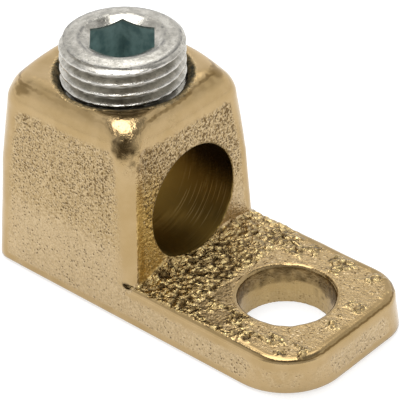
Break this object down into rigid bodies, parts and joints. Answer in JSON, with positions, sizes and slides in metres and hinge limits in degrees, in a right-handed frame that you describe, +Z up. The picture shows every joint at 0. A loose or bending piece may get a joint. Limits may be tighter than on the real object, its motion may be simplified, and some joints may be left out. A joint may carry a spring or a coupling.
{
  "type": "mechanical wire lug",
  "caption": "Cast bronze mechanical lug: a block whose drilled wire port is clamped by a socket set screw, with a flat tongue and stud hole for bolting it to a terminal.",
  "frame": {"origin": "centre of the stud hole on the flat underside", "axes": "+X along the tongue towards its tip, +Z up from the underside along the stud hole and the set screw"},
  "size_m": [0.0407, 0.0192, 0.0261],
  "materials": {
    "body": "sand-cast bronze, fine grain, rubbed bright on the edges",
    "screw": "zinc-plated steel"
  },
  "bodies": {
    "lug_body": {"lug_body": "body"},
    "set_screw": {"set_screw": "screw"}
  },
  "joints": [
    {"name": "set_screw_travel", "type": "slide", "parent": "lug_body", "child": "set_screw", "axis": [0, 0, 1], "range_m": [-0.006, 0.003]}
  ]
}
